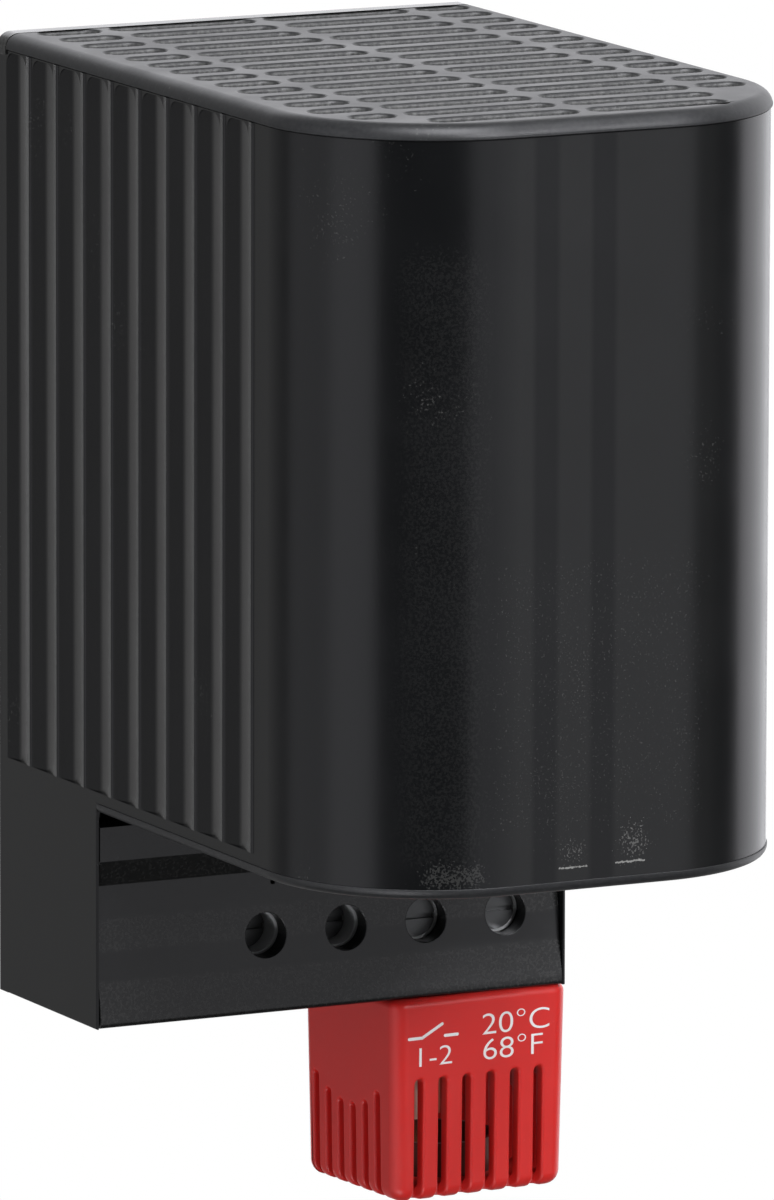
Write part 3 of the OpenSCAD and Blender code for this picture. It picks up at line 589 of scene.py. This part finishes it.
def makeHousing():
    piece = makeWalls()
    half, inner = shell["half"], shell["half"] - shell["wall"]
    cutAcross(piece, spot(0, base["depth"], 0), (0, 1, 0))
    edit(piece)
    pick(piece, "FACE", lambda at: isAt(heightOf(at), shell["foot"]) and depthOf(at) < base["depth"] + near)
    bpy.ops.mesh.extrude_region_move(TRANSFORM_OT_translate={"value": (0, 0, -shell["foot"] * mm)})
    roundEdges(piece, lambda a, b: all(isAt(abs(at.x) / mm, half) and isAt(heightOf(at), 0) for at in (a, b)),
               shell["edge"], 3)
    cutAway(piece, [block("pocket", spot(side * (inner - 1), base["lipDepth"], -1),
                          spot(side * (half - base["lip"]), base["depth"] + 1, shell["foot"] - base["roof"]))
                    for side in (1, -1)])
    reach = boss["size"] / 2
    for side in (1, -1):
        for height in boss["heights"]:
            added(piece, [block("boss", spot(side * (inner - boss["size"]), shell["rear"], height - reach),
                                spot(side * (inner + boss["root"]), shell["rear"] + boss["length"], height + reach))])
    cutAway(piece, [roundBar("bore", side * (inner - reach), height, boss["boreDepths"], boss["bore"])
                    for side in (1, -1) for height in boss["heights"]])
    edges = [ribs["first"] + i * ribs["pitch"] for i in range(ribs["count"])]
    starts = [shell["rear"]] + [edge + ribs["step"] for edge in edges[:-1]]
    cutAway(piece, [makeFlute(side, start, edge) for side in (1, -1) for start, edge in zip(starts, edges)])
    added(piece, [makeRib(side, edge) for side in (1, -1) for edge in edges])
    roundEdges(piece, lambda a, b: runsAlong(a, b, 2) and isAt(abs(a.x) / mm, half)
               and isAt(depthOf(a), base["depth"]) and max(heightOf(a), heightOf(b)) < shell["foot"] + near,
               shell["edge"], 3)
    bpy.ops.object.shade_smooth_by_angle(angle=math.radians(shell["smooth"]))
    shaped(piece, "WEIGHTED_NORMAL", mode="FACE_AREA", weight=50, keep_sharp=True)
    return placed(piece, "housing_shell", housingPlastic)


# Grilles: the plan as a plate, rows of slots with well rounded edges
notQuite = 0.001  # a full round stops this far short of half the width, so that no face closes up
slots = dict(rows=15, first=4.2, wide=3.3, margin=3.4, bridge=1.6, short=7.4, shift=1.15, least=3.7)
topPlate = dict(half=30.2, rear=2.2, front=90.2, corner=20.2, steps=48, under=109.6, top=111.5, rim=1.7,
                slotEdge=0.42, smooth=40)
webs = dict(thick=1.2, high=3.0, place=0.72, clear=1.2, edge=0.15)
lowPlate = dict(half=30.15, rear=26.1, front=90.15, corner=20.15, steps=48, under=25.1, top=26.3, rim=1.1,
                edge=0.08)


def longSlot():
    # length of a row's two middle slots
    inner = slots["bridge"] / 2
    return topPlate["half"] - shell["wall"] - ribs["proud"] - slots["short"] - 3 * inner


def slotSpans(depth):
    # ends of the slots in one row, left to right, kept inside the plan's margin
    corner = topPlate["corner"]
    past = max(0, depth + slots["wide"] / 2 - topPlate["front"] + corner)
    reach = topPlate["half"] - corner + math.sqrt(corner ** 2 - past ** 2) - shell["wall"] - ribs["proud"]
    inner, long = slots["bridge"] / 2, longSlot()
    spans = []
    for side in (-1, 1):
        limit = reach - side * slots["shift"]
        spans.append((side, inner, min(inner + long, limit)))
        if limit > long + 3 * inner + slots["least"]:
            spans.append((side, long + 3 * inner, min(long + 3 * inner + slots["short"], limit)))
    return [sorted((slots["shift"] + side * a, slots["shift"] + side * b)) for side, a, b in spans]


def slotCutters(plate, past):
    made, cutters = {}, []
    pitch = (topPlate["front"] - slots["margin"] - slots["wide"] / 2 - slots["first"]) / (slots["rows"] - 1)
    for row in range(slots["rows"]):
        depth = slots["first"] + row * pitch
        if depth - slots["wide"] / 2 < past:
            continue
        for left, right in slotSpans(depth):
            length = round(right - left, 3)
            if length not in made:
                # one slot of each length: a box whose upright edges are rounded to half its width
                master = block("slot", spot(-length / 2, -slots["wide"] / 2, plate["under"] - 1),
                               spot(length / 2, slots["wide"] / 2, plate["top"] + 1))
                made[length] = roundEdges(master, lambda a, b: runsAlong(a, b, 2), slots["wide"] / 2 - notQuite, 10)
            cutters.append(copied(made[length], ((left + right) / 2 * mm, -depth * mm, 0)))
    for master in made.values():
        bpy.data.objects.remove(master)
    return cutters


def raisedPlate(name, plate):
    piece = flatPlan(name, plate, plate["under"])
    bpy.ops.mesh.select_all(action="SELECT")
    bpy.ops.mesh.extrude_region_move(TRANSFORM_OT_translate={"value": (0, 0, (plate["top"] - plate["under"]) * mm)})
    bpy.ops.mesh.select_all(action="SELECT")
    bpy.ops.mesh.normals_make_consistent(inside=False)
    hold(piece)
    return piece


def roundRim(piece, plate, height, steps):
    # the outer edge at one height, all but its rear side
    return roundEdges(piece, lambda a, b: isAt(heightOf(a), height) and isAt(heightOf(b), height) and not (
        isAt(depthOf(a), plate["rear"]) and isAt(depthOf(b), plate["rear"])), plate["rim"], steps)


def makeTopGrille():
    piece = roundRim(raisedPlate("topGrille", topPlate), topPlate, topPlate["top"], 8)
    cutAway(piece, slotCutters(topPlate, topPlate["rear"]))
    shaped(piece, "BEVEL", width=topPlate["slotEdge"] * mm, segments=4, limit_method="ANGLE",
           angle_limit=math.radians(50), use_clamp_overlap=False)
    bars = []
    inner, long = slots["bridge"] / 2, longSlot()
    radius = topPlate["corner"] - shell["wall"] - ribs["proud"]
    for x in (inner + webs["place"] * long, long + 3 * inner + webs["place"] * slots["short"]):
        past = max(0, x + webs["thick"] - topPlate["half"] + topPlate["corner"])
        reach = topPlate["front"] - topPlate["corner"] + math.sqrt(radius ** 2 - past ** 2) - webs["thick"]
        for side in (1, -1):
            bars.append(block("web", spot(side * x - webs["thick"] / 2, topPlate["rear"] + webs["clear"],
                                          topPlate["under"] - webs["high"]),
                              spot(side * x + webs["thick"] / 2, reach, topPlate["under"])))
    ladder = softened(joined(bars), webs["edge"])
    piece = joined([ladder, piece])
    bpy.ops.object.shade_smooth_by_angle(angle=math.radians(topPlate["smooth"]))
    shaped(piece, "WEIGHTED_NORMAL", mode="FACE_AREA", weight=50, keep_sharp=True)
    return placed(piece, "top_grille", grillePlastic)


def makeBottomGrille():
    piece = roundRim(raisedPlate("bottomGrille", lowPlate), lowPlate, lowPlate["under"], 6)
    cutAway(piece, slotCutters(lowPlate, base["depth"] + 2 * slots["bridge"]))
    return placed(softened(piece, lowPlate["edge"], 2, 50), "bottom_grille", grillePlastic)


# Terminal panel: a bar folded into bands, with four screwdriver holes and a latch slit
panel = dict(half=29.45, rightEnd=0.24, rear=22.5, front=25.9, foot=0, head=23.4, edge=0.22, toe=0.5,
             bore=2.6, boreHeight=8.9, bores=(-8.0, 2.25, 12.5, 22.75), through=(20, 28), slit=(-7.2, -6.7, 14.8, 20.8),
             folds={23.4: 0.3, 19.3: 0.3, 16.4: 1.4, 12.4: 1.4, 8.7: 1.0, 5.4: 0.8, 1.2: 0})


def makePanel():
    piece = block("terminalPanel", spot(-panel["half"], panel["rear"], panel["foot"]),
                  spot(panel["half"], panel["front"], panel["head"]))
    moveCorners(piece, lambda at: at.x > 0, (panel["rightEnd"] * mm, 0, 0))
    for height in list(panel["folds"])[1:]:
        cutAcross(piece, spot(0, 0, height), (0, 0, 1))
    for height, back in panel["folds"].items():
        moveCorners(piece, lambda at: isAt(depthOf(at), panel["front"]) and isAt(heightOf(at), height),
                    (0, back * mm, 0))
    roundEdges(piece, lambda a, b: runsAlong(a, b, 0) and isAt(heightOf(a), 0) and isAt(depthOf(a), panel["front"]),
               panel["toe"], 4)
    cutters = [roundBar("bore", x, panel["boreHeight"], panel["through"], panel["bore"]) for x in panel["bores"]]
    left, right, foot, head = panel["slit"]
    back, front = panel["through"]
    cutters.append(block("slit", spot(left, back, foot), spot(right, front, head)))
    cutAway(piece, cutters)
    return placed(softened(piece, panel["edge"], 3, 11), "terminal_panel", panelPlastic)


# Thermostat: a drafted box with round edges and a lip, hollow, with vents that run out through its lower edge
plug = dict(wide=23.4, deep=21.7, high=23.89, x=18.475, front=26.25, turn=3.9, draft=0.4, corner=1.9, footCorner=1.71,
            lip=1.0, wall=1.6, edge=0.42)
vents = dict(count=6, pitch=3.2, shift=-0.3, wide=1.1, floor=2.6, past=1, frontTop=10.0, sidePitch=2.79, sideShift=0.8,
             sideTop=14.3, sideRise=2.4)


def plugSpot(x, depth, height):
    # a place on the thermostat before it is turned: depth runs to the front from its axis
    return spot(plug["x"] + x, plug["front"] - plug["deep"] / 2 + depth, height)


def plugTurned(piece):
    piece.data.transform(Matrix.Translation(plugSpot(0, 0, 0)) @ Matrix.Rotation(math.radians(plug["turn"]), 4, "Z")
                         @ Matrix.Translation(-plugSpot(0, 0, 0)))
    return piece


def makeVent(place, top, face, turned):
    # a cutter through one wall, round at its top: turned ones go through the left and right walls
    floor, past, reach = vents["floor"], vents["past"], vents["wide"] / 2
    through = (face - floor, face + past) if face > 0 else (face - past, face + floor)
    heights = (-plug["high"] - past, -top + reach)
    ends = []
    for inward, across, height in zip(through, (place - reach, place + reach), heights):
        ends.append(plugSpot(inward, across, height) if turned else plugSpot(across, inward, height))
    return roundEdges(block("vent", *ends), lambda a, b: runsAlong(a, b, 0 if turned else 1)
                      and isAt(heightOf(a), heights[1]), reach - notQuite, 6)


def ventCutters():
    cutters = []
    for i in range(vents["count"]):
        step = i - (vents["count"] - 1) / 2
        rise = vents["sideTop"] - vents["sideRise"] * (2 * i / (vents["count"] - 1) - 1) ** 2
        for facing in (1, -1):
            cutters.append(makeVent(step * vents["pitch"] + vents["shift"] * facing, vents["frontTop"],
                                    facing * plug["deep"] / 2, False))
            cutters.append(makeVent(step * vents["sidePitch"] - vents["sideShift"], rise,
                                    facing * plug["wide"] / 2, True))
    return cutters


def makeThermostat():
    wide, deep, high = plug["wide"], plug["deep"], plug["high"]
    piece = block("thermostatHousing", plugSpot(-wide / 2, -deep / 2, -high), plugSpot(wide / 2, deep / 2, 0))
    edit(piece)
    pick(piece, "VERT", lambda at: isAt(heightOf(at), -high))
    bpy.ops.transform.resize(value=(1 - 2 * plug["draft"] / wide, 1 - 2 * plug["draft"] / deep, 1),
                             center_override=plugSpot(0, 0, -high))
    roundEdges(piece, lambda a, b: abs(a.z - b.z) > 5 * mm, plug["corner"], 6)
    roundEdges(piece, lambda a, b: isAt(heightOf(a), -high) and isAt(heightOf(b), -high), plug["footCorner"], 6)
    roundEdges(piece, lambda a, b: isAt(heightOf(a), 0) and isAt(heightOf(b), 0), plug["lip"], 5)
    inset = plug["wall"] + plug["draft"]
    cutAway(piece, [block("cavity", plugSpot(inset - wide / 2, inset - deep / 2, plug["wall"] - high),
                          plugSpot(wide / 2 - inset, deep / 2 - inset, 2))])
    cutAway(piece, ventCutters())
    softened(piece, plug["edge"], 4, 50, False)
    return placed(plugTurned(piece), "thermostat_housing", redPlastic)


# Print on the thermostat's face: an open contact and plain numbers, at x and height from its top
marks = dict(words={"1-2": (-6.6, 7.9, 3.3), "20\u00b0C": (4.5, 4.95, 3.6), "68\u00b0F": (4.1, 7.95, 3.6)},
             wide=1.25, thick=0.02, thin=0.035, bar=0.36, barRound=0.9, leads=((-10.0, -7.9), (-5.2, -3.2)),
             leadHeight=4.5, lever=3.2, leverBack=0.2, leverTurn=28, weld=0.0005)


def onFace(piece):
    # lays a flat piece drawn in x and z onto the drafted, turned face
    lean = math.atan2(plug["draft"], plug["high"])
    piece.data.transform(Matrix.Translation(plugSpot(0, plug["deep"] / 2, 0)) @ Matrix.Rotation(lean, 4, "X"))
    return plugTurned(piece)


def inkBar(name, left, right, height):
    reach = marks["bar"] / 2
    bar = block(name, Vector((left, -marks["thick"], -height - reach)) * mm,
                Vector((right, marks["thick"], reach - height)) * mm)
    return roundEdges(bar, lambda a, b: runsAlong(a, b, 1), reach * marks["barRound"], 4)


def makeMarking():
    parts = []
    for word, (x, height, size) in marks["words"].items():
        hold()
        bpy.ops.object.text_add(location=Vector((x, 0, -height)) * mm, rotation=(math.pi / 2, 0, 0))
        text = bpy.context.object
        text.data.body, text.data.align_x = word, "CENTER"
        text.data.size, text.data.extrude = size * mm, marks["thick"] * mm
        text.data.offset, text.scale.x = -marks["thin"] * mm, marks["wide"]
        bpy.ops.object.convert(target="MESH")
        parts.append(named("word"))
    parts += [inkBar("lead", left, right, marks["leadHeight"]) for left, right in marks["leads"]]
    lever = inkBar("lever", 0, marks["lever"], 0)
    hinge = Vector((marks["leads"][0][1] - marks["leverBack"], 0, -marks["leadHeight"])) * mm
    lever.data.transform(Matrix.Translation(hinge) @ Matrix.Rotation(-math.radians(marks["leverTurn"]), 4, "Y"))
    piece = onFace(joined(parts + [lever]))
    edit(piece)
    bpy.ops.mesh.select_all(action="SELECT")
    bpy.ops.mesh.remove_doubles(threshold=marks["weld"] * mm)
    hold()
    piece.name = piece.data.name = "thermostatMarking"
    piece.data.materials.clear()
    piece.data.materials.append(whiteInk)
    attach(piece, "root")
    print("piece", piece.name, len(piece.data.polygons), "faces")


# CAD pieces that only need their edges broken: a merged copy of the node's mesh
broken = {"rear_plate": ("rearPlate", "black_plastic", 0.25), "base_floor": ("baseFloor", "black_plastic", 0.15),
          "terminal_block": ("terminalBlock", "grey_plastic", 0.12), "din_clip": ("dinClip", "spring_steel", 0.12),
          "terminal_screws": ("terminalScrews", "zinc_steel", 0.15), "clip_rivets": ("clipRivets", "zinc_steel", 0.2)}
merge = dict(weld=0.002, flat=0.5)


def breakEdges(node, name, radius):
    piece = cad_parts[node].copy()
    piece.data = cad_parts[node].data.copy()
    piece.name = piece.data.name = name
    bpy.context.collection.objects.link(piece)
    edit(piece)
    bpy.ops.mesh.select_all(action="SELECT")
    bpy.ops.mesh.remove_doubles(threshold=merge["weld"] * mm)
    bpy.ops.mesh.dissolve_limited(angle_limit=math.radians(merge["flat"]))
    hold(piece)
    return placed(softened(piece, radius, 2, 50), node, finishOf[node])


makeHousing()
makeTopGrille()
makeBottomGrille()
makePanel()
makeThermostat()
makeMarking()
for node, (name, slot, radius) in broken.items():
    breakEdges(node, name, radius)
print("pieces modelled")


# Camera at the photograph's angle: fitted to its edges, in its own pixels
view = dict(azimuth=-26.67, elevation=10.22, roll=0.17, distance=1.682, target=(0, 45, 45), focalPixels=14869,
            imageHigh=1200, axisRight=21.3, axisDown=47.8, sensor=36, clip=(0.05, 20))


def outward(look):
    around, above = math.radians(look["azimuth"]), math.radians(look["elevation"])
    return Vector((math.sin(around) * math.cos(above), -math.cos(around) * math.cos(above), math.sin(above)))


def makeCamera():
    around, back = math.radians(view["azimuth"]), outward(view)
    right = Vector((math.cos(around), math.sin(around), 0))
    turn = Matrix((right, back.cross(right), back)).transposed() @ Matrix.Rotation(
        math.radians(view["roll"]), 3, "Z")
    lens = bpy.data.cameras.new("photoCamera")
    lens.sensor_width = view["sensor"]
    lens.lens = view["focalPixels"] / view["imageHigh"] * view["sensor"]
    lens.shift_x = -view["axisRight"] / view["imageHigh"]
    lens.shift_y = view["axisDown"] / view["imageHigh"]
    lens.clip_start, lens.clip_end = view["clip"]
    camera = bpy.data.objects.new("photoCamera", lens)
    bpy.context.collection.objects.link(camera)
    camera.matrix_world = Matrix.Translation(spot(*view["target"]) + back * view["distance"]) @ turn.to_4x4()
    bpy.context.scene.camera = camera


# Studio: tall soft boxes seen in the gloss, a key and a strip from above, two small lamps from below, pale ones behind
studio = dict(
    tint=(0.985, 0.985, 1.035),
    boxes={
        "keyAbove": dict(azimuth=-8, elevation=58, away=1.3, wide=0.9, high=0.9, glow=8.5),
        "eyeLight": dict(azimuth=14, elevation=23, away=1.2, wide=0.5, high=0.14, glow=36),
        "rightFront": dict(azimuth=21, elevation=0, away=1.4, wide=1.14, high=1.2, glow=0.46),
        "leftFront": dict(azimuth=-75, elevation=-6, away=1.4, wide=0.75, high=2.0, glow=0.7),
        "leftSide": dict(azimuth=-108, elevation=-6, away=1.4, wide=0.95, high=2.2, glow=0.42),
        "farLeft": dict(azimuth=-140, elevation=-6, away=1.4, wide=0.42, high=2.2, glow=0.07),
        "leftLow": dict(azimuth=-62, elevation=-38, away=1.0, wide=0.4, high=0.3, glow=1.7),
        "underFront": dict(azimuth=-44, elevation=-42, away=1.0, wide=0.24, high=0.24, glow=10),
        "rightBack": dict(azimuth=110, elevation=4, away=1.7, wide=1.65, high=2.2, glow=1.18),
        "behind": dict(azimuth=161, elevation=6, away=1.7, wide=1.4, high=2.0, glow=1.25)},
    room=dict(towards=(0.5, 0.866, 0), dimAt=0.2, dim=0.05, paleAt=0.95, pale=0.45),
    floorDrop=60, floorSize=0.9, floorBack=0.3)


def makeBox(name, box, centre):
    away = outward(box)
    lamp = bpy.data.lights.new(name, "AREA")
    lamp.shape, lamp.size, lamp.size_y = "RECTANGLE", box["wide"], box["high"]
    lamp.color = studio["tint"]
    lamp.energy = box["glow"] * math.pi * box["wide"] * box["high"]
    light = bpy.data.objects.new(name, lamp)
    bpy.context.collection.objects.link(light)
    light.location = centre + away * box["away"]
    light.rotation_euler = away.to_track_quat("Z", "Y").to_euler()
    light.visible_camera = False


def makeRoom():
    # the camera sees white; the gloss sees a room that is pale behind the part on the right and dim elsewhere
    look = studio["room"]
    room = bpy.data.worlds.new("studioRoom")
    bpy.context.scene.world = room
    room.use_nodes = True
    tree = room.node_tree
    tree.nodes.clear()
    ray = addNode(tree, "ShaderNodeLightPath")
    place = addNode(tree, "ShaderNodeTexCoord")
    facing = addNode(tree, "ShaderNodeVectorMath", {"operation": "DOT_PRODUCT", 1: look["towards"]},
                     {0: (place, "Generated")})
    level = addNode(tree, "ShaderNodeMapRange", {"From Min": look["dimAt"], "From Max": look["paleAt"],
                                                 "To Min": look["dim"], "To Max": look["pale"]},
                    {"Value": (facing, "Value")})
    strength = addNode(tree, "ShaderNodeMix", {3: 1.0}, {0: (ray, "Is Camera Ray"), 2: (level, "Result")})
    glow = addNode(tree, "ShaderNodeBackground", {"Color": (1, 1, 1, 1)}, {"Strength": (strength, 0)})
    addNode(tree, "ShaderNodeOutputWorld", {}, {"Surface": (glow, "Background")})


def makeFloor():
    hold()
    bpy.ops.mesh.primitive_plane_add(size=studio["floorSize"], location=(
        0, rearFace + studio["floorBack"], cadLow.z - studio["floorDrop"] * mm))
    floor = named("studioFloor")
    made, tree, _ = newMaterial("paleFloor")
    ray = addNode(tree, "ShaderNodeLightPath")
    paint = addNode(tree, "ShaderNodeBsdfDiffuse", {"Color": linear("#f4f4f4")})
    white = addNode(tree, "ShaderNodeEmission", {"Color": (1, 1, 1, 1)})
    both = addNode(tree, "ShaderNodeMixShader", {}, {0: (ray, "Is Camera Ray"), 1: (paint, "BSDF"),
                                                     2: (white, "Emission")})
    addNode(tree, "ShaderNodeOutputMaterial", {}, {"Surface": (both, "Shader")})
    floor.data.materials.append(made)
    floor.visible_glossy = floor.visible_diffuse = floor.visible_shadow = False


makeCamera()
middle = (cadLow + cadHigh) / 2
for name, box in studio["boxes"].items():
    makeBox(name, box, middle)
makeRoom()
makeFloor()
bpy.context.scene.view_settings.view_transform = "Standard"
print("camera, lights and floor")
